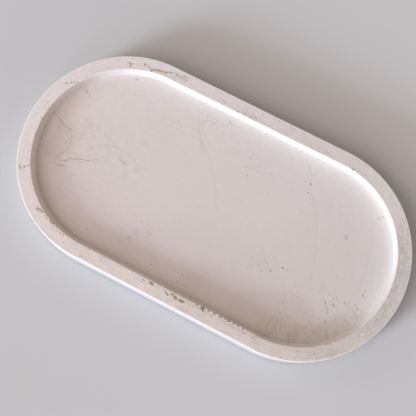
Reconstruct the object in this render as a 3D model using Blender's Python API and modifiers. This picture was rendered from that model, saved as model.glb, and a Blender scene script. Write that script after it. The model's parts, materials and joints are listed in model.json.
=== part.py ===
"""Long oval tray, cast in one piece, standing on four stick-on rubber feet.

Run it with blender --background --python part.py, or from Blender's text editor.
Metres, +Z up. The origin is on the surface that the feet stand on, under the middle of the tray.
+X runs along the tray and +Y across it.
"""

import math

import bmesh
import bpy
from mathutils import Matrix

# Overall size of the casting, which is widest at its base.
BASE_LENGTH = 0.240
BASE_WIDTH = 0.1288
BODY_HEIGHT = 0.0125

# The mould's walls lean, so that the casting comes out: the rim's outline is smaller than the base's.
OUTER_DRAFT = 0.0015
END_LEAN = 0.0005

# The recess, which things are put in.
RIM_WIDTH = 0.0083
RECESS_DEPTH = 0.0054
RECESS_DRAFT = 0.0012

# Edges of the casting.
EDGE_RADIUS = 0.0005
EDGE_SEGMENTS = 2
WALL_FOOT_RADIUS = 0.0010
WALL_FOOT_SEGMENTS = 3
SHARP_ANGLE = math.radians(35)

# Stick-on feet: flat rubber buttons on a circle about the centre of each round end.
FOOT_RADIUS = 0.005
FOOT_TIP_RADIUS = 0.0044
FOOT_THICKNESS = 0.0012
FOOT_ADHESIVE = 0.0003
FOOT_EDGE_RADIUS = 0.0004
FOOT_CIRCLE_RADIUS = 0.050
FOOT_ANGLE = math.radians(50)

END_SEGMENTS = 96
FOOT_SEGMENTS = 32
CUT_CLEARANCE = 0.004
COPLANAR_ANGLE = math.radians(0.05)
MERGE_DISTANCE = 0.00001

# Each outline is two half circles joined by straight sides: a radius, and how far from the middle
# of the tray the circles' centres are.
BASE_RADIUS = BASE_WIDTH / 2
BASE_CENTRE = BASE_LENGTH / 2 - BASE_RADIUS
RIM_RADIUS = BASE_RADIUS - OUTER_DRAFT
RIM_CENTRE = BASE_LENGTH / 2 - END_LEAN - RIM_RADIUS
MOUTH_RADIUS = RIM_RADIUS - RIM_WIDTH
FLOOR_RADIUS = MOUTH_RADIUS - RECESS_DRAFT

BODY_BOTTOM = FOOT_THICKNESS + FOOT_ADHESIVE
RIM_TOP = BODY_BOTTOM + BODY_HEIGHT
RECESS_FLOOR = RIM_TOP - RECESS_DEPTH


def clear_scene():
    for obj in list(bpy.data.objects):
        bpy.data.objects.remove(obj)


def new_collection(name):
    collection = bpy.data.collections.new(name)
    bpy.context.scene.collection.children.link(collection)
    return collection


def new_material(name, colour, roughness):
    material = bpy.data.materials.new(name)
    material.use_nodes = True
    shader = material.node_tree.nodes["Principled BSDF"]
    shader.inputs["Base Color"].default_value = (*colour, 1.0)
    shader.inputs["Roughness"].default_value = roughness
    shader.inputs["Metallic"].default_value = 0.0
    return material


def new_object(name, bm, collection, material=None):
    mesh = bpy.data.meshes.new(name)
    bm.to_mesh(mesh)
    bm.free()
    mesh.shade_smooth()
    mesh.set_sharp_from_angle(angle=SHARP_ANGLE)
    if material:
        mesh.materials.append(material)
    obj = bpy.data.objects.new(name, mesh)
    collection.objects.link(obj)
    return obj


def add_bevel(obj, width, segments):
    bevel = obj.modifiers.new("rounded_edges", "BEVEL")
    bevel.width = width
    bevel.segments = segments
    bevel.limit_method = "ANGLE"
    bevel.angle_limit = SHARP_ANGLE
    return bevel


def oval_block(outlines):
    """Convex block through flat ovals, each given as its height, its circles' centre and radius."""
    bm = bmesh.new()
    for height, centre, radius in outlines:
        for side in (-1, 1):
            place = Matrix.Translation((side * centre, 0.0, height))
            bmesh.ops.create_circle(bm, segments=END_SEGMENTS, radius=radius, matrix=place)
    hull = bmesh.ops.convex_hull(bm, input=bm.verts)
    inside = set(hull["geom_interior"]) | set(hull["geom_unused"])
    bmesh.ops.delete(bm, geom=[v for v in inside if isinstance(v, bmesh.types.BMVert)], context="VERTS")
    bmesh.ops.remove_doubles(bm, verts=bm.verts, dist=MERGE_DISTANCE)
    bmesh.ops.dissolve_limit(bm, angle_limit=COPLANAR_ANGLE, verts=bm.verts, edges=bm.edges)
    bmesh.ops.recalc_face_normals(bm, faces=bm.faces)
    return bm


def make_recess_cutter(collection):
    """The hollow's shape, carried on up past the rim at the same slope."""
    slope = RECESS_DRAFT / RECESS_DEPTH
    outlines = (
        (RECESS_FLOOR, RIM_CENTRE, FLOOR_RADIUS),
        (RIM_TOP + CUT_CLEARANCE, RIM_CENTRE, MOUTH_RADIUS + slope * CUT_CLEARANCE),
    )
    cutter = new_object("recess_cutter", oval_block(outlines), collection)
    add_bevel(cutter, WALL_FOOT_RADIUS, WALL_FOOT_SEGMENTS)
    cutter.hide_render = True
    cutter.display_type = "WIRE"
    return cutter


def make_tray_body(collection, cutter, material):
    """The casting: a solid slab with leaning sides, hollowed from above."""
    outlines = (
        (BODY_BOTTOM, BASE_CENTRE, BASE_RADIUS),
        (RIM_TOP, RIM_CENTRE, RIM_RADIUS),
    )
    body = new_object("tray_body", oval_block(outlines), collection, material)
    cut = body.modifiers.new("recess", "BOOLEAN")
    cut.operation = "DIFFERENCE"
    cut.object = cutter
    add_bevel(body, EDGE_RADIUS, EDGE_SEGMENTS)
    return body


def foot_mesh():
    """A low button, a little narrower where it stands, with its upper face at the object's origin."""
    bm = bmesh.new()
    bmesh.ops.create_cone(
        bm,
        cap_ends=True,
        segments=FOOT_SEGMENTS,
        radius1=FOOT_TIP_RADIUS,
        radius2=FOOT_RADIUS,
        depth=FOOT_THICKNESS,
        matrix=Matrix.Translation((0.0, 0.0, -FOOT_THICKNESS / 2)),
    )
    return bm


def make_feet(collection, material):
    for end, x_side in (("left", -1), ("right", 1)):
        for row, y_side in (("front", -1), ("back", 1)):
            foot = new_object(f"foot_{row}_{end}", foot_mesh(), collection, material)
            foot.location = (
                x_side * (BASE_CENTRE + FOOT_CIRCLE_RADIUS * math.cos(FOOT_ANGLE)),
                y_side * FOOT_CIRCLE_RADIUS * math.sin(FOOT_ANGLE),
                FOOT_THICKNESS,
            )
            add_bevel(foot, FOOT_EDGE_RADIUS, EDGE_SEGMENTS)


def main():
    clear_scene()
    tray = new_collection("cast_oval_tray")
    cutters = new_collection("cutters")
    plaster = new_material("cast_plaster", (0.62, 0.58, 0.55), 0.62)
    rubber = new_material("clear_rubber", (0.60, 0.60, 0.57), 0.35)
    cutter = make_recess_cutter(cutters)
    make_tray_body(tray, cutter, plaster)
    make_feet(tray, rubber)


main()
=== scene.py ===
import json
import math
import random

import bpy
import numpy as np
from mathutils import Matrix, Vector, geometry, kdtree, noise


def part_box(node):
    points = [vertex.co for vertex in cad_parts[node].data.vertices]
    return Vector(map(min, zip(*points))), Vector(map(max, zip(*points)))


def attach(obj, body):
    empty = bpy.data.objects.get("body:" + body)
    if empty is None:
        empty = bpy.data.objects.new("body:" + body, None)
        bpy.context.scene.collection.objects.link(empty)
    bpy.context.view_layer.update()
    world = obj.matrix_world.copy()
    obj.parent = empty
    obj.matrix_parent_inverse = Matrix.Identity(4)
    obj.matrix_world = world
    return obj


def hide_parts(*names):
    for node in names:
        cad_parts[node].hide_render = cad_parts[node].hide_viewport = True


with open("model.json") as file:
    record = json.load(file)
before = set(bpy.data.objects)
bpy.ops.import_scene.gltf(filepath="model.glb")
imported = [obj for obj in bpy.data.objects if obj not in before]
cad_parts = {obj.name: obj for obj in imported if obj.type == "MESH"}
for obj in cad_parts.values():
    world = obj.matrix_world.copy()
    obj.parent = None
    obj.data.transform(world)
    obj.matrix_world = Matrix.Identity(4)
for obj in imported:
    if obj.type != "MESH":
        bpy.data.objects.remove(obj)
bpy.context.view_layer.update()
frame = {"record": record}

# Lengths are in millimetres, and become metres where a mesh is written.
MM = 0.001

# The casting's outer size and the height of its floor, from the frame.
BODY_LOW, BODY_HIGH = (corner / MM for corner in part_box("tray_body"))
MOUNTS = {mount["name"]: mount for mount in frame["record"]["mounts"]}
BODY_BOTTOM = BODY_LOW.z
RIM_TOP = BODY_HIGH.z
RECESS_FLOOR = MOUNTS["recess_floor"]["pos_m"][2] / MM

# How the walls lean, how wide the rim is, and how far in from each corner its rounding starts.
OUTER_DRAFT = 1.5
END_LEAN = 0.5
RIM_WIDTH = 8.3
RECESS_DRAFT = 1.2
BASE_EDGE = 0.5
RIM_EDGE = 0.4
WALL_FOOT = 0.5

# Outlines are two half circles joined by straight sides: a radius, and how far out the circles' centres
# are. They start a hair inside the CAD solid, so that nothing stands proud of it.
SLACK = 0.03
EDGE_SHARE = BASE_EDGE / (RIM_TOP - BODY_BOTTOM)
BASE_RADIUS = BODY_HIGH.y + OUTER_DRAFT * EDGE_SHARE - SLACK
BASE_CENTRE = BODY_HIGH.x + END_LEAN * EDGE_SHARE - SLACK - BASE_RADIUS
RIM_RADIUS = BASE_RADIUS - OUTER_DRAFT
RIM_CENTRE = BASE_CENTRE + OUTER_DRAFT - END_LEAN
MOUTH_RADIUS = RIM_RADIUS - RIM_WIDTH
FLOOR_RADIUS = MOUTH_RADIUS - RECESS_DRAFT

# Distance between neighbouring points of the casting's mesh. The inner wall's columns are closest at the
# front, where the bites and beads are.
RIM_STEP = 0.9
FLOOR_STEP = 1.2
UNDERSIDE_STEP = 2.2
STAIN_STEP = 0.55
PIT_STEP = 0.28
WALL_STEP = 0.8
FRONT_WALL_STEP = 0.35

# Creases and stains that are narrower than this get a finer mesh.
NARROW_STAIN = 3

# Edges that are sharper than this are shaded sharp.
CASTING_CREASE = math.radians(38)
FOOT_CREASE = math.radians(40)

# ---- marks of casting and use

def marks(*rows):
    """Single marks, each its width, its strength and its places, from rows of marks that look alike.

    A row is a width, a strength and its marks. A mark is the x and y of each place that it runs through,
    in millimetres from the middle of the tray, and two numbers make a dot. The strength of a pit or a
    crease is its depth.
    """
    return tuple(
        (width, strength, tuple(zip(run[::2], run[1::2])))
        for width, strength, *runs in rows
        for run in runs
    )


FLOOR_PITS = marks(
    (1.5, 0.4, (52.8, -13.5)), (1.3, 0.34, (87.3, -18.8, 87.8, -19.5)),
    (1.3, 0.32, (45.4, 38, 45.7, 37.2)), (1.3, 0.3, (3.5, -43.2)), (1.2, 0.32, (82.7, -19.8, 83.1, -20.3)),
    (1.2, 0.3, (-14.5, -50.5)), (1.2, 0.26, (3.2, -48.2)), (1.1, 0.32, (99.8, -6.2, 100.6, -7)),
    (1.1, 0.3, (-14.9, -46.5)), (1.1, 0.26, (85.8, -15.9), (87.1, -30.1, 87.5, -29.9)),
    (1.1, 0.24, (-97.5, 27.1)), (1.1, 0.18, (-81.7, 12)), (1.1, 0.15, (98.9, -13.7)),
    (1, 0.28, (10.3, 25.3), (-57.8, -45)),
    (1, 0.25, (46.3, 32.3, 46.8, 32.5), (92.5, -15.3), (-80.5, -22.1)), (1, 0.24, (87.5, -14.7)),
    (1, 0.22, (-23.4, -31.5)),
    (1, 0.2, (89.9, -33.8, 90.2, -34.6), (-59.5, -49.5), (-13.2, 49.8, -12.7, 48.4)),
    (1, 0.14, (84.6, -21.8, 85.9, -23.4, 87.2, -25.6)), (1, 0.12, (-44.9, -8.5)),
    (0.9, 0.25, (64.3, -25.1, 64.7, -24.9), (90.6, 39.4, 91.2, 39.2)),
    (0.9, 0.24, (70.6, -24.7), (67.1, -24.6), (-2.3, -50.6)),
    (0.9, 0.22, (102, -6), (100.1, -3.8, 100.6, -4.3)),
    (0.9, 0.2, (-93.4, -4.9, -93.1, -5.7), (102.7, -1)), (0.9, 0.18, (-16.9, -49.4)),
    (0.9, 0.16, (38.3, -16.8)), (0.9, 0.15, (95, 5.2)),
    (0.9, 0.12, (91.3, 22.2), (29.3, 46.8, 29.6, 46), (-39, 33.6)), (0.9, 0.1, (-49.7, -5.6)),
    (0.8, 0.26, (47.7, -18.4)), (0.8, 0.22, (43.5, -15.4, 44, -15.1)),
    (0.8, 0.2, (83.8, -21.4, 84.1, -22)),
    (0.8, 0.18, (44.6, 39.6), (47.1, 34.6), (81, -18.6), (41.7, -13.2, 41.9, -13.9), (-100.3, 29.9),
     (-74.8, 47.2, -74.3, 47.3)),
    (0.8, 0.16, (67.4, -20.7)), (0.8, 0.15, (-94.8, 25.8)),
    (0.8, 0.14, (95.9, -21), (39.4, -18.6, 39.9, -18), (-40.5, 36.4, -39.7, 36.2)),
    (0.8, 0.12, (35.2, -15.6), (100.4, -15.6), (6.5, 35.5, 6.8, 34.8)), (0.8, 0.1, (-52, -7)),
    (0.7, 0.15, (-22.5, -33.4)), (0.7, 0.14, (75.7, -27.8), (90.7, -23.6)),
    (0.7, 0.12, (78.9, -24.4), (45.7, -20.2), (50.1, -16.4), (7.5, 39, 7.9, 38)),
    (0.7, 0.1, (36.1, -19.8)),
)

RIM_PITS = marks(
    (1.4, 0.36, (-106.1, -30.4)), (1.3, 0.36, (-106.8, 26.7), (-111.5, -0.4)),
    (1.3, 0.34, (-104.5, -28.5)), (1.2, 0.35, (-71.1, -54)), (1.2, 0.16, (-52, -59.3)),
    (1.2, 0.14, (-40.8, -57.6)), (1.1, 0.36, (2.1, -57.2)),
    (1.1, 0.34, (-14.1, -56, -13.6, -56.1), (-73.6, 56.4, -73.1, 56.3)),
    (1.1, 0.32, (-69, -54.4), (-66.8, -54.7), (-11.2, 55.9)),
    (1.1, 0.3, (-113.5, 10.1), (-74, -53.1), (-48.8, -57.7)), (1.1, 0.2, (89.1, -48.2)),
    (1, 0.36, (46.1, 57.5)), (1, 0.34, (-67.9, 54.3)), (1, 0.28, (-105.2, 27.7), (-103.7, 28.7)),
    (0.9, 0.28, (41.1, 55.8)), (0.9, 0.22, (-69.7, 55.4)),
    (0.9, 0.2, (-108.5, -32.1), (-102.7, 28.3), (-64.7, -58.5), (23.5, -59.3)),
    (0.9, 0.16, (112.4, -15.6, 112.3, -16.4)), (0.9, 0.12, (105.1, 32), (107.9, 26.5)),
    (0.8, 0.22, (-71.5, 56)), (0.8, 0.2, (-5.1, -55.5), (-3.7, -55.6), (-54.1, 59.5)),
    (0.8, 0.16, (34.5, -58)), (0.8, 0.14, (44.5, 56)), (0.8, 0.12, (-27.1, -60)),
    (0.7, 0.14, (43.5, 60.4)),
)

CREASES = marks(
    (2.4, 0.014, (96.5, -5, 94.5, 8, 92, 21, 87, 34.5)),
    (1.8, 0.022, (-34, 41, -22.5, 32, -13, 23.5, -5.5, 14, -1, 7, 3.5, -1)),
    (1.8, 0.016, (49, 32, 59, 17.5, 65.5, 1.5, 72, -18)),
    (1.7, 0.24, (-89.2, -15.9, -87.9, -15), (-90.3, -19.5, -88.9, -18.9)),
    (1.5, 0.22, (-84.1, -12.2, -82.9, -11.8), (-77.1, -9.6, -75.9, -9.2)),
    (1.4, 0.018, (-32.5, 44, -22.5, 35.5, -16.5, 30)),
    (1.2, 0.05, (-98, 2.8, -94.1, 0.8, -91.9, -3, -91.1, -7, -91.7, -11.5, -94.3, -16.5)),
    (1, 0.11, (-91.1, -16.8, -88.5, -15.4, -86.3, -13.2, -83.5, -12, -80.5, -10.6)),
    (1, 0.1, (-108.8, 6.6, -106, 5.6, -102.5, 4.2, -99.5, 3.2, -96.5, 2.4, -94.5, 2.2)),
    (0.9, 0.09, (-92.5, -20.2, -90.5, -19.3, -88, -18.6, -85.8, -18)),
    (0.9, 0.08, (-80.5, -10.6, -76.5, -9.4, -73.5, -7.6)), (0.9, 0.07, (-89.5, -11, -87, -9.2)),
    (0.9, 0.06, (-78.6, -7.6, -77, -6), (-95, -21.2, -93.2, -19.2)),
    (0.9, 0.05, (-89.5, -12.5, -87, -10, -84.5, -8.6, -81, -8)),
    (0.8, 0.06, (-86.4, -10.8, -84.4, -9.2), (-81, -12.6, -79, -11.6)),
    (0.8, 0.05, (-82.6, -9, -80.6, -8), (-86.2, -15.8, -84, -14.4),
     (39, 48, 41, 45.2, 43.3, 41.6)),
    (0.8, 0.04, (-94.5, 2.2, -92, 2.4, -89.5, 1.9), (-92.9, -10.4, -90.1, -8.4, -87.5, -7.6)),
    (0.7, 0.05, (28.1, -55.8, 29.3, -57.4, 29.5, -58.6)),
    (0.7, 0.04, (49.7, -56.2, 49.1, -57.6, 48.8, -59)), (0.7, 0.03, (33.3, -56.8, 33.7, -58)),
)

GREY_MARKS = marks(
    (6, 0.16, (-39, -41.5, -32, -37)), (5, 0.14, (-29, -34, -24, -31.5)), (4, 0.18, (36, -17, 40.5, -14)),
    (3.5, 0.16, (42, -20, 47, -18)), (3.4, 0.25, (-63.5, 1.8, -61, 1)), (3, 0.25, (-59, -1, -56.5, -2)),
    (3, 0.18, (-84.5, 10.3, -75.5, 8.5, -66.5, 5.2, -58.5, 1)),
    (3, 0.12, (49.5, 30.5, 53, 26, 56, 21.5, 58, 17.5, 61.5, 6, 65.5, -5)),
    (2.8, 0.3, (-68, 5.2, -66, 4.8)), (2.6, 0.2, (98.5, 36, 103.5, 31, 107.1, 25, 109.5, 18, 111.1, 8)),
    (2.4, 0.55, (76.5, 19.3, 77.6, 18)),
    (2.4, 0.22, (-28.5, 38.5, -25.5, 34.5, -22.5, 30, -20.5, 27, -18, 24)),
    (2.2, 0.4, (-35, -40, -33, -38)), (2.2, 0.25, (-15.8, -44.2, -15.1, -42.2)),
    (2.2, 0.15, (-44.7, 18.2), (-33, 16)), (2, 0.4, (-22.5, 43.6, -19.5, 44)),
    (1.8, 0.45, (-88.9, 10.9, -84.5, 10.3)), (1.8, 0.3, (-60.8, -5.5), (44.1, 43.4, 45.5, 43)),
    (1.8, 0.25, (-38.1, -41.8, -37, -40.9), (-50.1, 35.5), (46, 20.6)),
    (1.8, 0.22, (-96.5, -20.5, -95.1, -19.6)), (1.8, 0.2, (-39.1, 45)), (1.8, 0.18, (89.2, 15)),
    (1.7, 0.3, (21.5, 32.6, 24, 30.8)), (1.6, 0.45, (-27.5, 43, -25, 43.3)), (1.6, 0.3, (-46.5, 35.5)),
    (1.6, 0.25, (25.3, 21.3), (15.8, -10.2), (-52.7, 13.1), (46.1, -23, 47.1, -23.4)),
    (1.6, 0.2, (84.5, 18)), (1.6, 0.18, (51.5, -21.2)),
    (1.6, 0.16, (-94.5, 0.5, -92.3, -3, -90.8, -7, -90.5, -11, -94.5, -18)),
    (1.5, 0.35, (37.1, 28.4, 38.3, 28.8)), (1.5, 0.25, (15.7, 3.6), (87.9, 33.7)),
    (1.5, 0.2, (-2.9, 32.8, -1, 34)), (1.4, 0.25, (28.7, 19.2), (13.2, 10, 14.8, 10.6), (17.6, 9.5)),
    (1.4, 0.22, (-60.8, 33.2, -57.5, 34)), (1.4, 0.2, (59.7, -16), (67.5, -24, 66.5, -22)),
    (1.4, 0.16, (-13.3, 20.4, -7.5, 16, -5, 13, -2.5, 9.5, -0.5, 5.5, 1.5, -2)), (1.3, 0.25, (-3.7, 29.4)),
    (1.3, 0.18, (81, 10.5, 87.5, 13.5)), (1.2, 0.3, (57.3, 16.8, 58.3, 13.2)),
    (1.2, 0.25, (-60.9, 36.5), (-60.8, 12.4, -59.5, 13.4), (104.5, 33, 108.3, 26, 110.5, 20)),
    (1, 0.22, (62.9, -18.4, 62.3, -17)),
)

OLIVE_MARKS = marks(
    (9, 0.16, (-26.5, 45, -20.5, 47)), (6, 0.2, (75.5, -46.5, 85.5, -43, 93.5, -36.5, 99.5, -28)),
    (5, 0.28, (101.5, 37, 106.5, 30, 110, 22, 112.1, 12, 112.9, 0, 112.1, -16)),
    (5, 0.2, (-14.5, 49, -12.5, 48)), (2.6, 0.28, (-23.5, 32, -20, 26.5)),
    (2.4, 0.3, (95.5, -46, 97.1, -44.6)), (2.2, 0.3, (74.1, -42.6, 75.5, -47)),
    (2.1, 1, (5.9, -56.9, 6.9, -57.1)), (2, 1, (9.1, -57.2, 11.3, -56.9)), (2, 0.8, (63.1, 54.5)),
    (1.9, 1, (-10, -56.1, -8.4, -56.2)), (1.9, 0.75, (-77.4, -51.4, -75.1, -52)),
    (1.8, 0.75, (-87.8, -48.5, -85.1, -48.2, -83.7, -48.8)), (1.8, 0.35, (104.9, 38.6, 108.1, 33.6)),
    (1.7, 1, (3.6, -56.2, 4.6, -55.9), (22.1, -56, 23.8, -56)), (1.6, 0.7, (-81.7, -49.9, -79.7, -51)),
    (1.5, 1, (-0.1, -56.8, 1.4, -57.2)), (1.5, 0.4, (98.4, -13.4, 100.7, -15.8)),
    (1.2, 0.6, (-52.1, -61, -51.1, -60.6)), (1.2, 0.45, (37.9, -56.1, 39.7, -56.1)),
    (1.1, 0.45, (117.1, 4, 117.5, -3, 117.1, -10)), (1, 0.9, (-1.5, -56, -0.9, -56.1)),
    (1, 0.4, (29.9, -55.9), (33.8, -55.8)), (0.9, 0.5, (3.9, -60.6, 2.7, -61)),
)

BROWN_MARKS = marks(
    (5, 0.45, (-53.5, 58, -48, 59.2)), (4, 0.2, (-81.5, 52)), (3.4, 0.45, (-8, 56.6, 0, 56.2)),
    (3.2, 0.4, (14, -56.2, 56, -56.2)), (2.4, 0.25, (-62.5, 55.9, -51.5, 56.4)),
    (2.2, 0.45, (-98.9, 27.6, -96.5, 26.6)), (2, 0.35, (88.9, 37, 90.5, 38.2)),
    (1.8, 0.6, (-109.5, -31, -108.3, -31.8)), (1.8, 0.55, (-109.9, 24.2, -108.1, 25.2)),
    (1.7, 0.8, (-68.5, 55.1, -64.5, 56.2, -61, 57.3, -57.5, 58.5)), (1.6, 0.5, (-74.3, 56.6, -70.1, 55.6)),
    (1.6, 0.45, (-106.8, 26.6), (-75.7, 47.2, -73.7, 47.4)),
    (1.6, 0.4, (-22.9, 57.4, -20.3, 56.6), (-106.5, -30.2, -104.1, -28.4)),
    (1.6, 0.3, (36, -53.6, 49, -53.4, 62, -52.4)), (1.6, 0.22, (33.5, 57.2, 39.5, 57.6)),
    (1.4, 0.3, (-86.7, 1.4, -85.5, 0.4)), (1.3, 0.55, (-57.5, 58.5, -53.5, 59.7)),
    (1.3, 0.45, (-60.3, 55.3, -59.3, 55.4)), (1.2, 0.5, (-70.1, 55.6, -68.1, 54)),
    (1.2, 0.35, (-7.1, 58.4, -7.9, 60.6), (-105.5, 27.7, -102.5, 28.5)),
    (1.2, 0.3, (-18.9, 57.4, -15.9, 58.1, -12.5, 58.6)), (1.1, 0.95, (-82.7, 52.6, -79.9, 53.1)),
    (1, 0.85, (-81.3, 52.6, -80.4, 50.4)), (1, 0.35, (-101.1, 30, -98.5, 29.8)),
    (0.9, 0.4, (-56.5, 61.2, -54.9, 60.9)), (0.9, 0.35, (-95.7, 26.4, -94.1, 25.6)),
    (0.9, 0.3, (-58.5, -54.3, -53.5, -54.6)),
)

# Where a cloth has left streaks at the right, where the floor is smeared grey, where a second pour has
# left a faintly darker patch, and where a tan tint lies along the front-right wall, partly a stain and
# partly painted shadow of the front wall.
WIPED_RIGHT = marks(
    (26, 1, (67, -47, 82, -43, 94, -34, 102, -22)), (16, 0.45, (84, -28, 94, -20)),
    (14, 0.35, (61, -22, 68, -29)), (12, 0.3, (48, -16, 40, -14)),
)
SMEARED_AREAS = marks(
    (22, 1, (-84, 6, -70, 0, -52, -4)), (16, 0.7, (-35, -38, -24, -32)), (16, 0.6, (-8, 38, 12, 30)),
    (14, 0.7, (-50, 30, -28, 38)), (12, 0.6, (-60, 10, -46, 14)),
)
POURED_AREAS = marks((12, 1, (-97, 0.5, -95, -5, -97.5, -13)))
# Tan patch, partly stain and partly painted shadow of the front wall.
TAN_AND_SHADOW_AREAS = marks(
    (36, 0.4, (22, -46, 40, -45)), (34, 0.65, (48, -45, 70, -41)),
    (17, 1, (60, -49.5, 80, -45, 92, -36.5, 97.5, -30)), (8, 0.8, (99, -29.5, 105.5, -18.5)),
)

# Way from the middle of the tray to the walls whose shadow is painted on the floor beside them. The inner
# walls on the other side face the light and are painted darker.
NEAR_SIDE = (-0.5, -0.87)

# Bites out of the mouth's edge: x and y near the edge, the bite's radius and how far it goes into the rim.
BITES = (
    (19, -55, 0.9, 0.4), (22.9, -55, 1.6, 1), (26.5, -55, 0.8, 0.6), (29.9, -55, 0.9, 0.7),
    (33.8, -55, 1, 0.7), (36.5, -55, 0.7, 0.4), (38.8, -55, 1.4, 0.8), (42.1, -55, 0.9, 0.4),
    (44.7, -55, 1, 0.5), (48.2, -55, 0.9, 0.5), (50.4, -55, 0.6, 0.3), (-50.3, -55, 0.6, 0.5),
    (-53.5, -55, 0.5, 0.3), (-22, -55, 0.7, 0.4), (-4.5, -55, 0.7, 0.4), (-65.5, -54, 0.6, 0.4),
    (-67.9, -53.6, 0.5, 0.3), (-72.3, -52.6, 0.6, 0.4), (-75.1, -52, 0.7, 0.5), (-78.3, -50.6, 0.9, 0.5),
    (-80.7, -49.4, 0.7, 0.4), (-82.9, -48.2, 0.6, 0.4), (-103.1, -26.8, 0.6, 0.4),
    (-111.4, -0.3, 0.7, 0.5), (-102.5, 28.8, 0.6, 0.3), (-67.7, 53.4, 0.6, 0.3), (63.2, 54, 0.6, 0.3),
)

# Beads of plaster left on the mouth's edge: where along the front, their radius and how far they reach in.
# The first ones stand between the bites at the front, and the rim behind them is chalky and has a painted
# highlight.
CHALKY_BEADS = (
    (17.1, 0.9, 0.3), (20.8, 1.1, 0.45), (24.9, 1.3, 0.5), (28.2, 1.1, 0.45), (31.9, 1.4, 0.55),
    (35.5, 0.9, 0.4), (37.4, 0.8, 0.35), (40.7, 1.2, 0.45), (43.4, 1, 0.4), (46.4, 1.3, 0.5),
    (49.4, 0.9, 0.4), (51.9, 0.8, 0.3), (54.5, 0.9, 0.2),
)
LONE_BEADS = ((-3.1, 0.8, 0.15), (7.5, 1, 0.15), (12.7, 1, 0.2), (-36.5, 0.9, 0.12), (-48.3, 0.8, 0.15))
BEAD_HEIGHT = 1.6

# Dents are this share of the depths above, which say how deep the hole is before plaster rounds it off.
PIT_RELIEF = 0.6

# Slow waves of a hand-made mould: how long a wave is and how far it sinks or swells the face.
RIM_WAVES = ((38.0, 0.10), (6.0, 0.03))
FLOOR_WAVES = ((45.0, 0.16), (7.0, 0.04))
UNDERSIDE_WAVES = ((12.0, 0.25),)

RANDOM_SEED = 7
STRAY_PITS = 90

# The way the cloth went at the right.
CLOTH_WAY = Vector((0.45, -0.89))


def turns(count):
    """Angles of equal steps round a circle."""
    return [2 * math.pi * step / count for step in range(count)]


def clipped(values):
    return np.clip(values, 0.0, 1.0)


def add_object(name, data):
    """Puts a new object with this mesh, light or camera into the scene."""
    added = bpy.data.objects.new(name, data)
    bpy.context.scene.collection.objects.link(added)
    return added


# ---- shape of the casting

def corner_points(before, corner, after, size, steps):
    """A rounded corner between two straight stretches of a profile."""
    start = corner + (before - corner).normalized() * size
    end = corner + (after - corner).normalized() * size
    shares = [step / steps for step in range(steps + 1)]
    return [start * (1 - t) ** 2 + corner * 2 * t * (1 - t) + end * t * t for t in shares]


def stretch_points(start, end, steps):
    """Points between two others, without the two."""
    return [start.lerp(end, step / steps) for step in range(1, steps)]


def outer_profile():
    """From the underside, round the base edge, up the outer wall and onto the rim.

    A profile point is a Vector of its outline's radius, the outline's centre and its height.
    """
    inside = Vector((0.0, BASE_CENTRE, BODY_BOTTOM))
    base = Vector((BASE_RADIUS, BASE_CENTRE, BODY_BOTTOM))
    rim = Vector((RIM_RADIUS, RIM_CENTRE, RIM_TOP))
    rim_inside = Vector((0.0, RIM_CENTRE, RIM_TOP))
    low_edge = corner_points(inside, base, rim, BASE_EDGE, 4)
    high_edge = corner_points(base, rim, rim_inside, RIM_EDGE, 5)
    return low_edge + stretch_points(low_edge[-1], high_edge[0], 9) + high_edge


def inner_profile():
    """From the rim, over the mouth's edge and down the inner wall to the floor."""
    rim = Vector((RIM_RADIUS, RIM_CENTRE, RIM_TOP))
    mouth = Vector((MOUTH_RADIUS, RIM_CENTRE, RIM_TOP))
    foot = Vector((FLOOR_RADIUS, RIM_CENTRE, RECESS_FLOOR))
    middle = Vector((0.0, RIM_CENTRE, RECESS_FLOOR))
    edge = corner_points(rim, mouth, foot, RIM_EDGE, 5)
    fillet = corner_points(mouth, foot, middle, WALL_FOOT, 6)
    return edge + stretch_points(edge[-1], fillet[0], 8) + fillet


def loop_columns(front_step, back_step):
    """Places round the tray, as a share of the outline's centre and the angle that the outline faces."""
    quarter = MOUTH_RADIUS * math.pi / 2
    straight = RIM_CENTRE * 2
    front_arc = round(quarter / front_step)
    back_arc = round(quarter / back_step)
    front = round(straight / front_step)
    back = round(straight / back_step)
    columns = [(1, math.pi / 2 * (i / front_arc - 1)) for i in range(front_arc)]
    columns += [(1, math.pi / 2 * i / back_arc) for i in range(back_arc)]
    columns += [(1 - 2 * i / back, math.pi / 2) for i in range(back)]
    columns += [(-1, math.pi / 2 * (1 + i / back_arc)) for i in range(back_arc)]
    columns += [(-1, math.pi / 2 * (2 + i / front_arc)) for i in range(front_arc)]
    columns += [(2 * i / front - 1, math.pi * 3 / 2) for i in range(front)]
    return columns


def strip_points(profile, columns):
    """Array of rows by columns by xyz."""
    share, angle = np.array(columns).T
    rows = []
    for radius, centre, height in profile:
        x = share * centre + radius * np.cos(angle)
        y = radius * np.sin(angle)
        rows.append(np.stack([x, y, np.full_like(x, height)], axis=1))
    return np.array(rows)


def bite_spheres():
    """Each bite as a ball, its centre just above the rim, and the radius of the ball."""
    spheres = []
    for x, y, radius, reach in BITES:
        axis = Vector((max(-RIM_CENTRE, min(RIM_CENTRE, x)), 0.0))
        outward = (Vector((x, y)) - axis).normalized()
        centre = axis + outward * (MOUTH_RADIUS + reach - radius)
        lift = 0.25 * radius
        spheres.append((Vector((centre.x, centre.y, RIM_TOP + lift)), math.hypot(radius, lift)))
    return spheres


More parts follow.
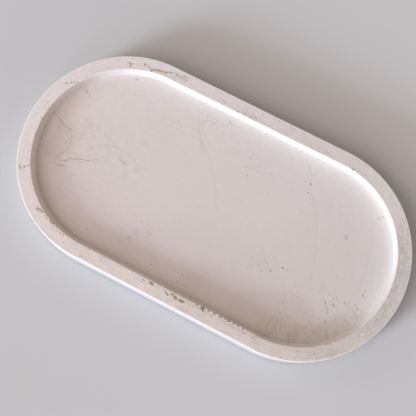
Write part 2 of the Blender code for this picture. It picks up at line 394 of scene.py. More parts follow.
def bite_edge(strip, columns):
    """Pushes a strip's points out of the bites, straight into the rim."""
    angle = np.array(columns)[:, 1]
    outward = np.stack([np.cos(angle), np.sin(angle), np.zeros_like(angle)], axis=1)
    bitten = strip.copy()
    for centre, radius in bite_spheres():
        away = np.array(centre) - strip
        along = (away * outward).sum(axis=2)
        reach = along**2 - (away**2).sum(axis=2) + radius**2
        push = np.where(reach > 0, along + np.sqrt(np.maximum(reach, 0.0)), 0.0)
        moved = strip + np.maximum(push, 0.0)[..., None] * outward
        further = ((moved - strip) ** 2).sum(axis=2) > ((bitten - strip) ** 2).sum(axis=2)
        bitten = np.where(further[..., None], moved, bitten)
    return bitten


def bead_edge(strip):
    """Swells a strip's edge towards the recess where the beads are."""
    swollen = strip.copy()
    level = clipped(strip[..., 2] - RIM_TOP + BEAD_HEIGHT)
    for x, radius, reach in CHALKY_BEADS + LONE_BEADS:
        share = np.hypot(strip[..., 0] - x, strip[..., 1] + MOUTH_RADIUS) / radius
        swollen[..., 1] += reach * bump_shape(share) * level
    return swollen


def outside_bites(points, margin):
    """The flat points that no bite takes away."""
    keep = np.ones(len(points), bool)
    for centre, radius in bite_spheres():
        at_rim = math.sqrt(radius**2 - (centre.z - RIM_TOP) ** 2)
        keep &= np.hypot(points[:, 0] - centre.x, points[:, 1] - centre.y) > at_rim + margin
    return points[keep]


def strip_faces(rows, columns, first):
    """Quads between neighbouring rows of a closed strip whose points start at index first."""
    row, column = np.meshgrid(np.arange(rows - 1), np.arange(columns), indexing="ij")
    following = (column + 1) % columns
    near = row * columns
    far = near + columns
    quads = np.stack([near + column, near + following, far + following, far + column], axis=-1)
    return (quads.reshape(-1, 4) + first).tolist()


def depth_inside(points, radius, centre=RIM_CENTRE):
    """How far points lie inside an outline."""
    out = np.maximum(np.abs(points[:, 0]) - centre, 0.0)
    return radius - np.hypot(out, points[:, 1])


def grid_points(spacing, low, high):
    """Points on a triangular grid inside a box. Boxes that overlap share their points."""
    step = spacing * math.sqrt(0.75)
    row, column = np.meshgrid(
        np.arange(math.ceil(low[1] / step), math.floor(high[1] / step) + 1),
        np.arange(math.ceil(low[0] / spacing) - 1, math.floor(high[0] / spacing) + 1),
    )
    x = (column + 0.5 * (row % 2)) * spacing
    return np.stack([x.ravel(), (row * step).ravel()], axis=1)


def distance_to(points, places):
    """Distance from points to the line through places, or to the only place."""
    flat = points[:, :2]
    if len(places) == 1:
        return np.hypot(*(flat - np.array(places[0])).T)
    nearest = np.full(len(points), np.inf)
    for start, end in zip(places, places[1:]):
        start = np.array(start)
        run = np.array(end) - start
        share = clipped((flat - start) @ run / (run @ run))
        nearest = np.minimum(nearest, np.hypot(*(flat - start - share[:, None] * run).T))
    return nearest


def points_at_marks(some_marks, spacing, reach):
    """Grid points on and just round the marks, each of them once."""
    found = []
    for width, _, places in some_marks:
        limit = width * reach / 2 + spacing
        low = np.min(places, axis=0) - limit
        high = np.max(places, axis=0) + limit
        near = grid_points(spacing, low, high)
        found.append(near[distance_to(near, places) < limit])
    return np.unique(np.round(np.concatenate(found), 5), axis=0)


def clear_of(points, others, distance):
    """The points that are further than distance from all others."""
    tree = kdtree.KDTree(len(others))
    for index, place in enumerate(others):
        tree.insert((place[0], place[1], 0.0), index)
    tree.balance()
    keep = [tree.find((x, y, 0.0))[2] > distance for x, y in points]
    return points[np.array(keep, bool)]


def region_points(step, stains, pits, loops, radius, centre, hole_radius=0.0):
    """Points to fill a flat region with: a wide grid, and finer ones where the stains and pits are."""
    low = (-BODY_HIGH.x, -BODY_HIGH.y)
    high = (BODY_HIGH.x, BODY_HIGH.y)
    layers = [(PIT_STEP, points_at_marks(pits, PIT_STEP, 1.5))] if pits else []
    if stains:
        layers.append((STAIN_STEP, points_at_marks(stains, STAIN_STEP, 1.6)))
    layers.append((step, grid_points(step, low, high)))
    edges = np.concatenate(loops)[:, :2]
    chosen = np.zeros((0, 2))
    for spacing, layer in layers:
        inside = depth_inside(layer, radius, centre) > 0.4 * spacing
        if hole_radius:
            inside &= depth_inside(layer, hole_radius, centre) < -0.4 * spacing
        layer = clear_of(layer[inside], edges, 0.55 * spacing)
        if len(chosen):
            layer = clear_of(layer, chosen, 0.75 * spacing)
        chosen = np.concatenate([chosen, layer])
    return chosen


def in_ring(centre, ring):
    """True for a point inside a closed ring of points."""
    following = np.roll(ring, -1, axis=0)
    crosses = (ring[:, 1] > centre[1]) != (following[:, 1] > centre[1])
    rise = np.where(crosses, following[:, 1] - ring[:, 1], 1.0)
    reached = ring[:, 0] + (centre[1] - ring[:, 1]) / rise * (following[:, 0] - ring[:, 0])
    return bool(np.count_nonzero(crosses & (reached > centre[0])) % 2)


def fill_faces(points, loops, hole):
    """Triangles over flat points, inside the outermost closed loop of indices and outside the hole."""
    edges = [(loop[i - 1], loop[i]) for loop in loops for i in range(len(loop))]
    coords = [Vector(place) for place in points.tolist()]
    result = geometry.delaunay_2d_cdt(coords, edges, [], 1, 1e-7)
    source = [origins[0] for origins in result[3]]
    faces = [[source[corner] for corner in face] for face in result[2]]
    if hole is None:
        return faces
    on_hole = set(hole)
    ring = points[hole]
    return [
        face
        for face in faces
        if not (on_hole.issuperset(face) and in_ring(points[face].mean(axis=0), ring))
    ]


class CastingMesh:
    """Collects the casting's points and faces, section by section."""

    def __init__(self):
        self.points = []
        self.faces = []

    def count(self):
        return sum(len(block) for block in self.points)

    def add_strip(self, points):
        """Adds a closed strip, and returns the indices of its first and last rows."""
        rows, columns = points.shape[:2]
        first = self.count()
        last = first + (rows - 1) * columns
        self.points.append(points.reshape(-1, 3))
        self.faces += strip_faces(rows, columns, first)
        return list(range(first, first + columns)), list(range(last, last + columns))

    def add_fill(self, inner_points, height, loops, hole=None, flip=False):
        """Fills a flat region between loops that are in the mesh already."""
        joined = np.concatenate(self.points)
        used = [index for loop in loops for index in loop]
        place = {index: position for position, index in enumerate(used)}
        flat = np.concatenate([joined[used][:, :2], inner_points])
        local = [[place[index] for index in loop] for loop in loops]
        local_hole = [place[index] for index in hole] if hole else None
        first = self.count()
        count = len(inner_points)
        self.points.append(np.column_stack([inner_points, np.full(count, height)]))
        index_of = used + list(range(first, first + count))
        for face in fill_faces(flat, local, local_hole):
            corners = [index_of[corner] for corner in face]
            self.faces.append(corners[::-1] if flip else corners)


def stray_pits(seed, count, radius, hole_radius=0.0):
    """Pin holes left by small air bubbles, as marks."""
    pick = random.Random(seed)
    pits = []
    while len(pits) < count:
        place = (pick.uniform(-BODY_HIGH.x, BODY_HIGH.x), pick.uniform(-BODY_HIGH.y, BODY_HIGH.y))
        width = pick.uniform(0.35, 0.6)
        depth = width * pick.uniform(0.25, 0.4)
        point = np.array([place])
        in_hole = hole_radius and depth_inside(point, hole_radius + 1.0)[0] > 0
        if depth_inside(point, radius - 1.0)[0] >= 0 and not in_hole:
            pits.append((width, depth, (place,)))
    return tuple(pits)


def stray_dashes(seed, count, low, high):
    """Short dashes along the way the cloth went, inside a box."""
    pick = random.Random(seed)
    dashes = []
    for _ in range(count):
        place = Vector((pick.uniform(low[0], high[0]), pick.uniform(low[1], high[1])))
        run = CLOTH_WAY * pick.uniform(0.1, 1.1)
        if depth_inside(np.array([place]), FLOOR_RADIUS - 2.5)[0] > 0:
            width = pick.uniform(0.7, 1.1)
            dashes.append((width, pick.uniform(0.03, 0.14), (tuple(place), tuple(place + run))))
    return tuple(dashes)


DASHES = stray_dashes(RANDOM_SEED + 2, 46, (60.0, -44.0), (106.0, -12.0))
DASHES += stray_dashes(RANDOM_SEED + 3, 26, (32.0, -24.0), (58.0, -8.0))
DASHES += stray_dashes(RANDOM_SEED + 4, 8, (-32.0, -38.0), (-18.0, -26.0))
ALL_FLOOR_PITS = FLOOR_PITS + DASHES + stray_pits(RANDOM_SEED, STRAY_PITS, FLOOR_RADIUS)
ALL_RIM_PITS = RIM_PITS + stray_pits(RANDOM_SEED + 1, STRAY_PITS // 2, RIM_RADIUS, MOUTH_RADIUS)


def casting_points():
    """The casting's points, with its flat faces still quite flat, and its faces."""
    built = CastingMesh()
    inner_columns = loop_columns(FRONT_WALL_STEP, WALL_STEP)
    outer = strip_points(outer_profile(), loop_columns(WALL_STEP, WALL_STEP))
    inner = bead_edge(bite_edge(strip_points(inner_profile(), inner_columns), inner_columns))
    base_loop, rim_loop = built.add_strip(outer)
    mouth_loop, floor_loop = built.add_strip(inner)

    stains = CREASES + OLIVE_MARKS + BROWN_MARKS + GREY_MARKS
    narrow = [mark for mark in stains if mark[0] < NARROW_STAIN]
    radius = RIM_RADIUS - RIM_EDGE
    hole_radius = MOUTH_RADIUS + RIM_EDGE
    loops = [outer[-1], inner[0]]
    points = region_points(RIM_STEP, narrow, ALL_RIM_PITS, loops, radius, RIM_CENTRE, hole_radius)
    points = outside_bites(points, 0.2)
    built.add_fill(points, RIM_TOP, [rim_loop, mouth_loop], hole=mouth_loop)

    radius = FLOOR_RADIUS - WALL_FOOT
    points = region_points(FLOOR_STEP, narrow, ALL_FLOOR_PITS, [inner[-1]], radius, RIM_CENTRE)
    built.add_fill(points, RECESS_FLOOR, [floor_loop])

    radius = BASE_RADIUS - BASE_EDGE
    points = region_points(UNDERSIDE_STEP, [], [], [outer[0]], radius, BASE_CENTRE)
    built.add_fill(points, BODY_BOTTOM, [base_loop], flip=True)
    return np.concatenate(built.points), built.faces


# How much of the wide wobble pits and dents follow, and how far a stain fades beyond its width.
PIT_WOBBLE = 0.3
STAIN_SPREAD = 1.25


def wobbled(points, share=1.0):
    """The points shifted a little, by a share of a wide wobble and a fine one, for ragged marks."""
    shifted = points.copy()
    for size, reach in ((2.2, 0.55 * share), (0.8, 0.25)):
        for axis, apart in ((0, 0.0), (1, 31.7)):
            values = [noise.noise(Vector((x / size, y / size, apart))) for x, y, _ in points.tolist()]
            shifted[:, axis] += reach * np.array(values)
    return shifted


def slope(values, low, high):
    """0 up to low, 1 from high on and a straight slope in between. High may be the smaller of the two."""
    return clipped((values - low) / (high - low))


def bump_shape(share):
    """1 in the middle of a mark, falling smoothly to 0 at its edge."""
    return clipped(1.0 - share**2) ** 1.5


def marked(points, some_marks, sharpness=1.0, spread=STAIN_SPREAD):
    """How strongly each point is marked, or how deep the pits and creases under it are."""
    value = np.zeros(len(points))
    for width, strength, places in some_marks:
        share = distance_to(points, places) / (width / 2)
        covered = clipped(bump_shape(share / spread) * sharpness)
        value = np.maximum(value, strength * covered)
    return value


def unevenness(points, waves):
    """What the waves add up to at each point, from 0 to the sum of their heights."""
    total = np.zeros(len(points))
    for size, height in waves:
        values = [noise.noise(Vector(point) / size) for point in points.tolist()]
        total += (np.array(values) * 0.5 + 0.5) * height
    return total


def surface_masks(points):
    """Which points are on the recess's floor, on the rim and on the underside."""
    inside = depth_inside(points, MOUTH_RADIUS) > 0
    floor = inside & (points[:, 2] < RECESS_FLOOR + 0.01) & (points[:, 2] > BODY_BOTTOM + 1)
    rim = points[:, 2] > RIM_TOP - 0.01
    underside = points[:, 2] < BODY_BOTTOM + 0.01
    return floor, rim, underside


def outline_place(points):
    """Each point's nearest x on the outline's centre line, and the way and the distance out from it."""
    x, y, _ = points.T
    axis = np.clip(x, -RIM_CENTRE, RIM_CENTRE)
    out = np.stack([x - axis, y], axis=1)
    radius = np.maximum(np.hypot(x - axis, y), 0.001)
    return axis, out / radius[:, None], radius


def shape_surface(points):
    """Sinks the pits, creases and slow waves into the flat faces."""
    floor, rim, underside = surface_masks(points)
    height = points[:, 2]
    ragged = wobbled(points, PIT_WOBBLE)
    floor_dents = marked(ragged, ALL_FLOOR_PITS + CREASES, spread=1.0)
    rim_dents = marked(ragged, ALL_RIM_PITS + CREASES, spread=1.0)
    sunk = (floor * floor_dents + rim * rim_dents) * PIT_RELIEF
    sunk += slope(height, RIM_TOP - 2.0, RIM_TOP - 0.2) * unevenness(points, RIM_WAVES)
    inside = depth_inside(points, MOUTH_RADIUS) > 0
    above_base = inside * (height > BODY_BOTTOM + 1.0)
    at_floor = above_base * slope(height, RECESS_FLOOR + 1.8, RECESS_FLOOR + 0.2)
    sunk += at_floor * unevenness(points, FLOOR_WAVES)
    sunk -= underside * unevenness(points, UNDERSIDE_WAVES)
    shaped = points.copy()
    shaped[:, 2] -= sunk
    return shaped


# How dark the painted shade in a pit or a crease is for each millimetre of its depth.
PIT_DARKNESS = 3.2
CREASE_DARKNESS = 7.0

# How far from the foot of the wall its shades and its glow fade on the floor, and how far from the mouth
# the rim's shade does.
SHADE_FADE = 4.5
LEFT_SHADE_FADE = 6.0
GLOW_FADE = 7.0
MOUTH_FADE = 1.3


def by_darkness(some_marks, darkness):
    """Marks with the darkness of the painted shade of their depth as their strength."""
    return [(width, min(1.0, depth * darkness), places) for width, depth, places in some_marks]


def mark_values(points):
    """How strongly each point shows the painted shade in the pits and creases, the stains, the patches,
    and the chalky halos that are partly painted highlight.
    """
    floor, rim, underside = surface_masks(points)
    above = ~underside
    ragged = wobbled(points)
    nearer = wobbled(points, PIT_WOBBLE)
    floor_pits = floor * marked(nearer, by_darkness(ALL_FLOOR_PITS, PIT_DARKNESS))
    rim_pits = rim * marked(nearer, by_darkness(ALL_RIM_PITS, PIT_DARKNESS))
    # Chalk, partly painted highlight, lies round the narrow olive stains and on the rim behind the chalky
    # beads.
    halos = [(width + 1.3, strength, places) for width, strength, places in OLIVE_MARKS if width < 1.8]
    halos += [(2.4, 1.0, ((x, -MOUTH_RADIUS - 0.3),)) for x, _, _ in CHALKY_BEADS]
    return {
        # Painted shade in the pits.
        "pit": rim_pits + floor_pits,
        # Painted shade in the creases.
        "crease": (floor | rim) * marked(ragged, by_darkness(CREASES, CREASE_DARKNESS)),
        "olive": above * marked(ragged, OLIVE_MARKS, 1.6),
        "brown": above * marked(ragged, BROWN_MARKS, 1.3),
        "grey": above * marked(ragged, GREY_MARKS, 1.2),
        "wiped_right": floor * marked(points, WIPED_RIGHT),
        "smeared": floor * marked(points, SMEARED_AREAS),
        # Partly stain, partly painted shadow of the front wall.
        "tan_and_shadow": floor * marked(ragged, TAN_AND_SHADOW_AREAS, 2.0),
        "poured": floor * marked(ragged, POURED_AREAS, 3.0),
        "chalk_and_highlight": rim * marked(ragged, halos),
    }


def place_values(points):
    """Which part of the casting each point belongs to, how worn it is, and what painted light and shade it
    gets there.
    """
    floor, rim, underside = surface_masks(points)
    above = ~underside
    outside = depth_inside(points, MOUTH_RADIUS) < 0
    x, y, height = points.T
    axis, out, radius = outline_place(points)
    facing = out @ np.array(NEAR_SIDE)
    inward = np.maximum(FLOOR_RADIUS - radius, 0.0)
    near_shade = clipped(facing) * np.exp(-inward / SHADE_FADE)
    left_shade = 0.7 * clipped(-out[:, 0]) * np.exp(-inward / LEFT_SHADE_FADE)
    glow = np.maximum(slope(x, -40.0, 45.0), 0.35 * clipped(out[:, 1]))
    inner_wall = ~outside * above * ~floor * (height < RIM_TOP - 0.1)
    return {
        "rim": slope(height, RIM_TOP - 0.3, RIM_TOP),
        # Painted highlight: the band along the rim's outer edge that is lightened.
        "edge": slope(radius, RIM_RADIUS - 1.0, RIM_RADIUS - 0.2) * (height > RIM_TOP - 0.8),
        "mouth": rim * out[:, 1] ** 2 * np.exp((MOUTH_RADIUS - radius) / MOUTH_FADE),
        # Painted shade: the outer wall is made greyer.
        "outside": outside * slope(height, RIM_TOP - 0.3, RIM_TOP - 1.1) * above,
        "underside": underside.astype(float),
        "worn": slope(np.hypot(x / 95.0, y / 50.0), 0.35, 0.85),
        # Painted shadow of the walls on the floor beside them, at the near side and at the left end.
        "wall_shade": floor * np.minimum(near_shade + left_shade, 1.2),
        # Painted light bounced from the lit walls onto the floor beside them.
        "wall_glow": floor * glow * np.exp(-inward / GLOW_FADE),
        # Painted light: the shaded inner walls at the front are made lighter.
        "near_wall_painted_light": inner_wall * clipped(-out[:, 1] * 1.5),
        # Painted shade: the inner walls that face the light are made darker.
        "lit_wall_painted_shade": inner_wall * clipped(-facing) ** 0.5,
        "across": radius * MM,
        "around_x": (axis + out[:, 0] * MOUTH_RADIUS) * MM,
        "around_y": out[:, 1] * MOUTH_RADIUS * MM,
    }


def make_casting():
    points, faces = casting_points()
    mesh = bpy.data.meshes.new("tray_casting")
    mesh.from_pydata((shape_surface(points) * MM).tolist(), [], faces)
    mesh.shade_smooth()
    mesh.set_sharp_from_angle(angle=CASTING_CREASE)
    for name, values in (mark_values(points) | place_values(points)).items():
        attribute = mesh.attributes.new(name, "FLOAT", "POINT")
        attribute.data.foreach_set("value", values.astype(np.float32))
    return add_object("tray_casting", mesh)


# ---- feet

# Profile of a stick-on foot from its standing face upwards, as shares of its radius and millimetres up.
FOOT_PROFILE = (
    (0.3, 0.06), (0.46, 0.05), (0.52, 0), (0.8, 0), (0.86, 0.04), (0.91, 0.16),
    (0.95, 0.45), (0.98, 0.85), (0.99, 1.14), (0.98, 1.2), (0.94, 1.2), (0.94, 1.6),
)
FOOT_SEGMENTS = 56


def make_foot(name):
    """A rubber button with a shallow hollow in its standing face, on a disc of adhesive."""
    low, high = (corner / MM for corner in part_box(name))
    middle = (low + high) / 2
    radius = (high.x - low.x) / 2
    centre = Vector((middle.x, middle.y, low.z))
    points = [
        centre + Vector((math.cos(turn) * share * radius, math.sin(turn) * share * radius, up))
        for share, up in FOOT_PROFILE
        for turn in turns(FOOT_SEGMENTS)
    ]
    faces = strip_faces(len(FOOT_PROFILE), FOOT_SEGMENTS, 0)
    last = len(points) - FOOT_SEGMENTS
    faces.append(list(range(FOOT_SEGMENTS))[::-1])
    faces.append(list(range(last, last + FOOT_SEGMENTS)))
    mesh = bpy.data.meshes.new("rubber_" + name)
    mesh.from_pydata([point * MM for point in points], [], faces)
    mesh.shade_smooth()
    mesh.set_sharp_from_angle(angle=FOOT_CREASE)
    return add_object("rubber_" + name, mesh)


# ---- materials

class Nodes:
    """Adds shader nodes to a material, and keeps the surface's colour so far.

    An input is a number, a colour, another node's output or the name of one of the mesh's attributes.
    """

    def __init__(self, name):
        self.material = bpy.data.materials.new(name)
        self.material.use_nodes = True
        self.tree = self.material.node_tree
        self.shader = self.tree.nodes["Principled BSDF"]
        self.colour = None

    def join(self, value, socket):
        if isinstance(value, str):
            value = self.add("ShaderNodeAttribute", {}, output="Fac", attribute_name=value)
        if isinstance(value, bpy.types.NodeSocket):
            self.tree.links.new(value, socket)
        else:
            socket.default_value = (*value, 1.0) if socket.type == "RGBA" else value

    def add(self, kind, inputs, output=0, **settings):
        node = self.tree.nodes.new(kind)
        for name, value in settings.items():
            setattr(node, name, value)
        for name, value in inputs.items():
            self.join(value, node.inputs[name])
        return node.outputs[output]

    def math(self, operation, first, second=0.0, third=0.0):
        return self.add("ShaderNodeMath", {0: first, 1: second, 2: third}, operation=operation)

    def times(self, first, second):
        return self.math("MULTIPLY", first, second)

    def mix(self, share, first, second, blend="MIX"):
        inputs = {0: share, 6: first, 7: second}
        return self.add("ShaderNodeMix", inputs, output=2, data_type="RGBA", blend_type=blend)

    def lay(self, stain, amount, share=1.0, blend="MIX"):
        """Mixes a stain into the colour so far, by an amount and a share of it."""
        self.colour = self.mix(self.times(amount, share), self.colour, stain, blend)

    def ramp(self, value, low, high, start=0.0, end=1.0):
        inputs = {"Value": value, "From Min": low, "From Max": high, "To Min": start, "To Max": end}
        return self.add("ShaderNodeMapRange", inputs, interpolation_type="SMOOTHSTEP")

    def place(self):
        return self.add("ShaderNodeTexCoord", {}, output="Object")

    def texture(self, place, scale, detail, distortion):
        inputs = {"Vector": place, "Scale": scale, "Detail": detail, "Distortion": distortion}
        return self.add("ShaderNodeTexNoise", inputs)

    def noise(self, size, detail=3.0, distortion=0.0):
        """Noise from 0 to 1 whose blobs are about size millimetres across."""
        return self.texture(self.place(), 1.0 / (size * MM), detail, distortion)

    def specks(self, size, share):
        """Small round dots in one in so many cells of size millimetres."""
        node = self.tree.nodes.new("ShaderNodeTexVoronoi")
        self.join(self.place(), node.inputs["Vector"])
        self.join(1.0 / (size * MM), node.inputs["Scale"])
        dot = self.ramp(node.outputs["Distance"], 0.30, 0.12)
        chosen = self.add("ShaderNodeSeparateColor", {"Color": node.outputs["Color"]})
        return self.times(dot, self.math("LESS_THAN", chosen, share))

    def finish(self, inputs):
        """Joins the surface's inputs, by name, and returns the material."""
        for name, value in inputs.items():
            self.join(value, self.shader.inputs[name])
        return self.material

    def bump(self, height, distance, before=None):
        inputs = {"Height": height, "Distance": distance * MM, "Strength": 1.0}
        if before is not None:
            inputs["Normal"] = before
        return self.add("ShaderNodeBump", inputs)


# Plaster yellows and greys unevenly: its shade at the left and right, on the floor and on the rim.
FLOOR_LEFT = (0.757, 0.734, 0.722)
FLOOR_RIGHT = (0.666, 0.645, 0.635)
RIM_LEFT = (0.865, 0.850, 0.835)
RIM_MIDDLE = (0.680, 0.671, 0.649)
RIM_RIGHT = (0.570, 0.578, 0.545)

# Shades that the plaster turns to in clouds, grains, streaks and marks, and the colours of painted light
# and shade: CHALK is also painted highlight, LIT_PLASTER is painted light bounced from the lit walls onto
# the floor, and CREASE_SHADE and PIT_SHADE are painted shade in creases and pits.
CHALK = (0.90, 0.885, 0.87)
CREAM = (0.76, 0.725, 0.68)
LIT_PLASTER = (0.87, 0.90, 0.87)
WORN_GREY = (0.60, 0.575, 0.555)
BRUSHED_GREY = (0.53, 0.51, 0.485)
WIPED_TAN = (0.47, 0.42, 0.34)
OLIVE = (0.47, 0.38, 0.22)
OLIVE_DARK = (0.27, 0.22, 0.12)
BROWN = (0.38, 0.30, 0.23)
GREY = (0.42, 0.395, 0.38)
CREASE_SHADE = (0.36, 0.31, 0.265)
PIT_SHADE = (0.20, 0.16, 0.13)

# What the plaster's colour is multiplied with, by the attribute that says where.
TINTS = {
    "mouth": (0.93, 0.915, 0.89),
    # Painted shadow on the floor beside the near walls.
    "wall_shade": (0.985, 0.955, 0.89),
    # Painted light on the shaded inner walls at the front.
    "near_wall_painted_light": (1.25, 1.19, 1.14),
    # Painted shade on the inner walls that face the light.
    "lit_wall_painted_shade": (0.86, 0.865, 0.85),
    "poured": (0.94, 0.93, 0.90),
    # Painted shade on the outer wall.
    "outside": (0.72, 0.73, 0.74),
    # Tan tint, partly stain and partly painted shadow of the front wall.
    "tan_and_shadow": (0.87, 0.855, 0.81),
}
# Bluer painted light on the front inner wall at the right end.
RIGHT_WALL_PAINTED_LIGHT = (1.0, 1.06, 1.12)
FRONT_RIM_TINT = (0.985, 0.965, 0.935)

RUBBER = (0.66, 0.67, 0.655)
RUBBER_DULL = (0.52, 0.53, 0.50)


def streaks(nodes, heading, width, length):
    """Noise drawn out along a heading in degrees."""
    inputs = {0: nodes.place(), "Angle": -math.radians(heading)}
    turned = nodes.add("ShaderNodeVectorRotate", inputs, rotation_type="Z_AXIS")
    inputs = {0: turned, 1: (1 / length, 1 / width, 0)}
    long = nodes.add("ShaderNodeVectorMath", inputs, operation="MULTIPLY")
    return nodes.texture(long, 1 / MM, 3.0, 0.3)


def rim_streaks(nodes, width, length):
    """Noise drawn out along the tray's outline."""
    parts = {
        "X": nodes.math("DIVIDE", "around_x", length * MM),
        "Y": nodes.math("DIVIDE", "around_y", length * MM),
        "Z": nodes.math("DIVIDE", "across", width * MM),
    }
    return nodes.texture(nodes.add("ShaderNodeCombineXYZ", parts), 1.0, 3.0, 0.4)


def lay_stain(nodes, stain, attribute, breakup):
    """Lays a stain where an attribute says, with a ragged edge."""
    ragged = nodes.math("ADD", attribute, nodes.ramp(breakup, 0.3, 0.7, -0.4, 0.4))
    nodes.lay(stain, nodes.ramp(ragged, 0.0, 0.7), nodes.math("MINIMUM", attribute, 1.0))


def drift(nodes, heading):
    """How far along a heading in degrees a place is, in metres, with a little unevenness."""
    split = nodes.tree.nodes.new("ShaderNodeSeparateXYZ")
    nodes.join(nodes.place(), split.inputs[0])
    turn = math.radians(heading)
    along = nodes.times(split.outputs["X"], math.cos(turn))
    along = nodes.math("MULTIPLY_ADD", split.outputs["Y"], math.sin(turn), along)
    return nodes.math("ADD", along, nodes.ramp(nodes.noise(60.0), 0.3, 0.7, -0.02, 0.02))


def plaster_base(nodes):
    """The plaster's shade from place to place, before its marks."""
    floor = nodes.mix(nodes.ramp(drift(nodes, -35.0), -0.11, 0.11), FLOOR_LEFT, FLOOR_RIGHT)
    rim = nodes.mix(nodes.ramp(drift(nodes, 25.0), -0.15, 0.13), RIM_LEFT, RIM_MIDDLE)
    rim = nodes.mix(nodes.ramp(drift(nodes, 0.0), 0.096, 0.114), rim, RIM_RIGHT)
    return nodes.mix("rim", floor, rim)


def lay_texture(nodes, grain, mottle):
    """Clouds, mottle, veins and grain, the rim's brushed streaks and chalky flecks, chalky halos round the
    chips that are partly painted highlight, and brown specks.
    """
    nodes.lay(CREAM, nodes.ramp(nodes.noise(26.0, 3.0, 1.5), 0.38, 0.66), 0.16)
    nodes.lay(WORN_GREY, mottle, nodes.math("MULTIPLY_ADD", "worn", 0.13, 0.03))
    vein = nodes.math("ABSOLUTE", nodes.math("SUBTRACT", nodes.noise(13.0, 5.0, 2.2), 0.5))
    veined = nodes.times("worn", nodes.ramp(nodes.noise(18.0, 1.0), 0.48, 0.62, 0.0, 0.22))
    nodes.lay(WORN_GREY, nodes.ramp(vein, 0.030, 0.0), veined)
    nodes.lay(WORN_GREY, nodes.ramp(grain, 0.45, 0.70), nodes.math("MULTIPLY_ADD", "rim", 0.28, 0.05))
    brushed = nodes.ramp(rim_streaks(nodes, 0.45, 9.0), 0.46, 0.68)
    brushed = nodes.times(brushed, nodes.ramp(drift(nodes, -50.0), -0.08, 0.08, 0.25, 0.62))
    nodes.lay(BRUSHED_GREY, brushed, "rim")
    rubbed = nodes.ramp(rim_streaks(nodes, 0.9, 3.0), 0.50, 0.72)
    flecks = nodes.math("MAXIMUM", nodes.ramp(nodes.noise(1.0, 3.0, 1.0), 0.54, 0.70), rubbed)
    flecks = nodes.times(flecks, nodes.times("rim", 0.55))
    # Chalky flecks, and chalky halos round the chips and beads that are partly painted highlight.
    nodes.lay(CHALK, nodes.math("MAXIMUM", flecks, "chalk_and_highlight"), 0.85)
    nodes.lay(BROWN, nodes.specks(2.1, 0.10), nodes.math("MULTIPLY_ADD", "rim", 0.25, 0.08))


def lay_tints(nodes):
    """Painted highlight on the rim's outer edge, painted light and shade on and beside the walls and on
    the outer wall, and the tints of the band by the mouth, the poured patch, the tan patch that is partly
    painted shadow, and the front rim.
    """
    # Painted highlight along the rim's outer edge.
    nodes.lay(CHALK, "edge", 0.5)
    # Painted glow of light bounced from the lit walls onto the floor.
    nodes.lay(LIT_PLASTER, "wall_glow", 0.6)
    for attribute, tint in TINTS.items():
        nodes.lay(tint, attribute, blend="MULTIPLY")
    # Painted light on the front inner walls, bluer at the right end.
    right_end = nodes.ramp(drift(nodes, 0.0), 0.06, 0.10)
    nodes.lay(RIGHT_WALL_PAINTED_LIGHT, "near_wall_painted_light", right_end, "MULTIPLY")
    nodes.lay(FRONT_RIM_TINT, nodes.ramp("around_y", 0.0, -0.05), "rim", "MULTIPLY")


def lay_marks(nodes, mottle):
    """Wiped and smeared patches, the rough underside, stains, and the painted shade in creases and pits.
    """
    smear = nodes.ramp(nodes.noise(3.0, 3.0, 1.0), 0.35, 0.65, 0.25, 0.8)
    wipe = nodes.ramp(rim_streaks(nodes, 6.0, 2.2), 0.42, 0.72, 0.0, 0.8)
    nodes.lay(WIPED_TAN, wipe, nodes.times("wiped_right", smear))
    smudge = nodes.ramp(streaks(nodes, -6.0, 2.6, 5.0), 0.42, 0.78)
    nodes.lay(WORN_GREY, smudge, nodes.times("smeared", smear))
    nodes.lay(WORN_GREY, nodes.times("underside", mottle), 0.35)
    breakup = nodes.noise(1.1, 4.0, 0.6)
    lay_stain(nodes, GREY, "grey", breakup)
    lay_stain(nodes, BROWN, "brown", breakup)
    olive = nodes.mix(nodes.ramp(nodes.noise(0.9, 2.0), 0.42, 0.62), OLIVE, OLIVE_DARK)
    lay_stain(nodes, olive, "olive", breakup)
    # Painted shade in the creases and pits.
    nodes.lay(CREASE_SHADE, "crease", 0.55)
    nodes.lay(PIT_SHADE, "pit", nodes.math("MULTIPLY_ADD", "rim", 0.16, 0.42))


def plaster_material():
    nodes = Nodes("cast_plaster_look")
    grain = nodes.noise(0.9, 4.0)
    mottle = nodes.ramp(nodes.noise(5.5, 5.0, 1.4), 0.42, 0.68)
    nodes.colour = plaster_base(nodes)
    lay_texture(nodes, grain, mottle)
    lay_tints(nodes)
    lay_marks(nodes, mottle)
    inputs = {
        "Base Color": nodes.colour,
        "Roughness": nodes.ramp(mottle, 0.0, 1.0, 0.56, 0.70),
        "Specular IOR Level": 0.35,
        "Normal": nodes.bump(grain, 0.02, nodes.bump(nodes.noise(4.0, 4.0), 0.04)),
    }
    return nodes.finish(inputs)


def rubber_material():
    nodes = Nodes("frosted_rubber_look")
    cloudy = nodes.ramp(nodes.noise(3.0, 4.0, 0.8), 0.35, 0.7)
    inputs = {
        "Base Color": nodes.mix(cloudy, RUBBER, RUBBER_DULL),
        "Roughness": nodes.ramp(cloudy, 0.0, 1.0, 0.38, 0.55),
        "Transmission Weight": 0.35,
        "IOR": 1.41,
        "Normal": nodes.bump(nodes.noise(0.4, 3.0), 0.01),
    }
    return nodes.finish(inputs)


# ---- stage, light and camera

# The floor is level round the tray and rises slowly far away, so that it fills a low view: the radius of
# each of its rings and that ring's height, in metres.
FLOOR_RINGS = ((0.5, 0.0), (3.0, 0.0), (12.0, 0.10), (25.0, 0.45), (60.0, 2.0))
FLOOR_SEGMENTS = 64
FLOOR_PAINT = (0.60, 0.64, 0.65)


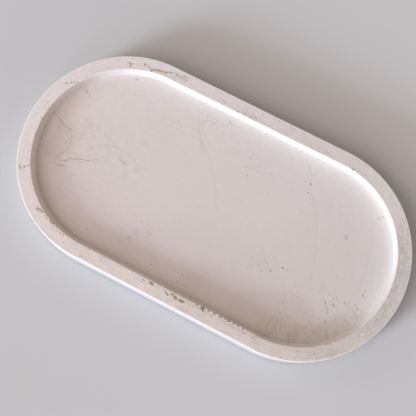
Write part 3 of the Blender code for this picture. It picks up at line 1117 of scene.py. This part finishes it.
def make_floor():
    points = [
        (radius * math.cos(turn), radius * math.sin(turn), up)
        for radius, up in FLOOR_RINGS[::-1]
        for turn in turns(FLOOR_SEGMENTS)
    ]
    faces = strip_faces(len(FLOOR_RINGS), FLOOR_SEGMENTS, 0)
    faces.append(list(range(len(points) - FLOOR_SEGMENTS, len(points))))
    mesh = bpy.data.meshes.new("studio_floor")
    mesh.from_pydata(points, [], faces)
    mesh.shade_smooth()
    floor = add_object("studio_floor", mesh)
    paint = Nodes("studio_floor_paint").finish({"Base Color": FLOOR_PAINT, "Roughness": 0.9})
    mesh.materials.append(paint)


# Each light's heading in degrees from +X towards +Y, its elevation, its width in degrees, and its colour
# and strength in one.
LIGHTS = {
    "window_low": (238, 11.5, 14, (0.77, 0.94, 1.09)),
    "window_low_right": (267, 16, 16, (0.12, 0.115, 0.17)),
    "window_far_right": (315, 11, 14, (0.13, 0.11, 0.09)),
    "window_side": (180, 24, 20, (0.115, 0.088, 0.065)),
    "window_middle": (240, 24, 25, (0.20, 0.19, 0.20)),
    "window_high": (232, 48, 35, (0.25, 0.212, 0.212)),
}
ROOM_LIGHT = (0.374, 0.303, 0.278)


def make_lights():
    for name, (heading, elevation, width, colour) in LIGHTS.items():
        light = bpy.data.lights.new(name, "SUN")
        light.angle = math.radians(width)
        strength = max(colour)
        light.energy = math.pi * strength
        light.color = [part / strength for part in colour]
        lamp = add_object(name, light)
        around = math.radians(heading)
        up = math.radians(elevation)
        away = Vector((math.cos(up) * math.cos(around), math.cos(up) * math.sin(around), math.sin(up)))
        lamp.rotation_euler = away.to_track_quat("Z", "Y").to_euler()
    world = bpy.data.worlds.new("room_light")
    world.use_nodes = True
    world.node_tree.nodes["Background"].inputs["Color"].default_value = (*ROOM_LIGHT, 1.0)
    bpy.context.scene.world = world


# Where the camera is, in metres, which way it looks, and the heading in degrees that is up in the picture.
# The lens and the sensor's width are in millimetres.
CAMERA_PLACE = (0.03776, -0.06471, 0.43785)
CAMERA_WAY = (-0.08949, 0.14282, -0.98569)
PICTURE_UP = 117.39
LENS = 65.135
SENSOR_WIDTH = 36.0


def make_camera():
    data = bpy.data.cameras.new("camera")
    data.lens = LENS
    data.sensor_width = SENSOR_WIDTH
    camera = add_object("camera", data)
    forward = Vector(CAMERA_WAY).normalized()
    picture_up = math.radians(PICTURE_UP)
    heading = Vector((math.cos(picture_up), math.sin(picture_up), 0.0))
    right = forward.cross(heading).normalized()
    up = right.cross(forward)
    turn = Matrix((right, up, -forward)).transposed().to_4x4()
    camera.matrix_world = Matrix.Translation(CAMERA_PLACE) @ turn
    bpy.context.scene.camera = camera


FEET = ("foot_front_left", "foot_back_left", "foot_front_right", "foot_back_right")


def main():
    casting = make_casting()
    casting.data.materials.append(plaster_material())
    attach(casting, "root")
    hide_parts("tray_body")
    rubber = rubber_material()
    for name in FEET:
        foot = make_foot(name)
        foot.data.materials.append(rubber)
        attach(foot, "root")
        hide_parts(name)
    make_floor()
    make_lights()
    make_camera()
    bpy.context.scene.view_settings.view_transform = "Standard"


main()
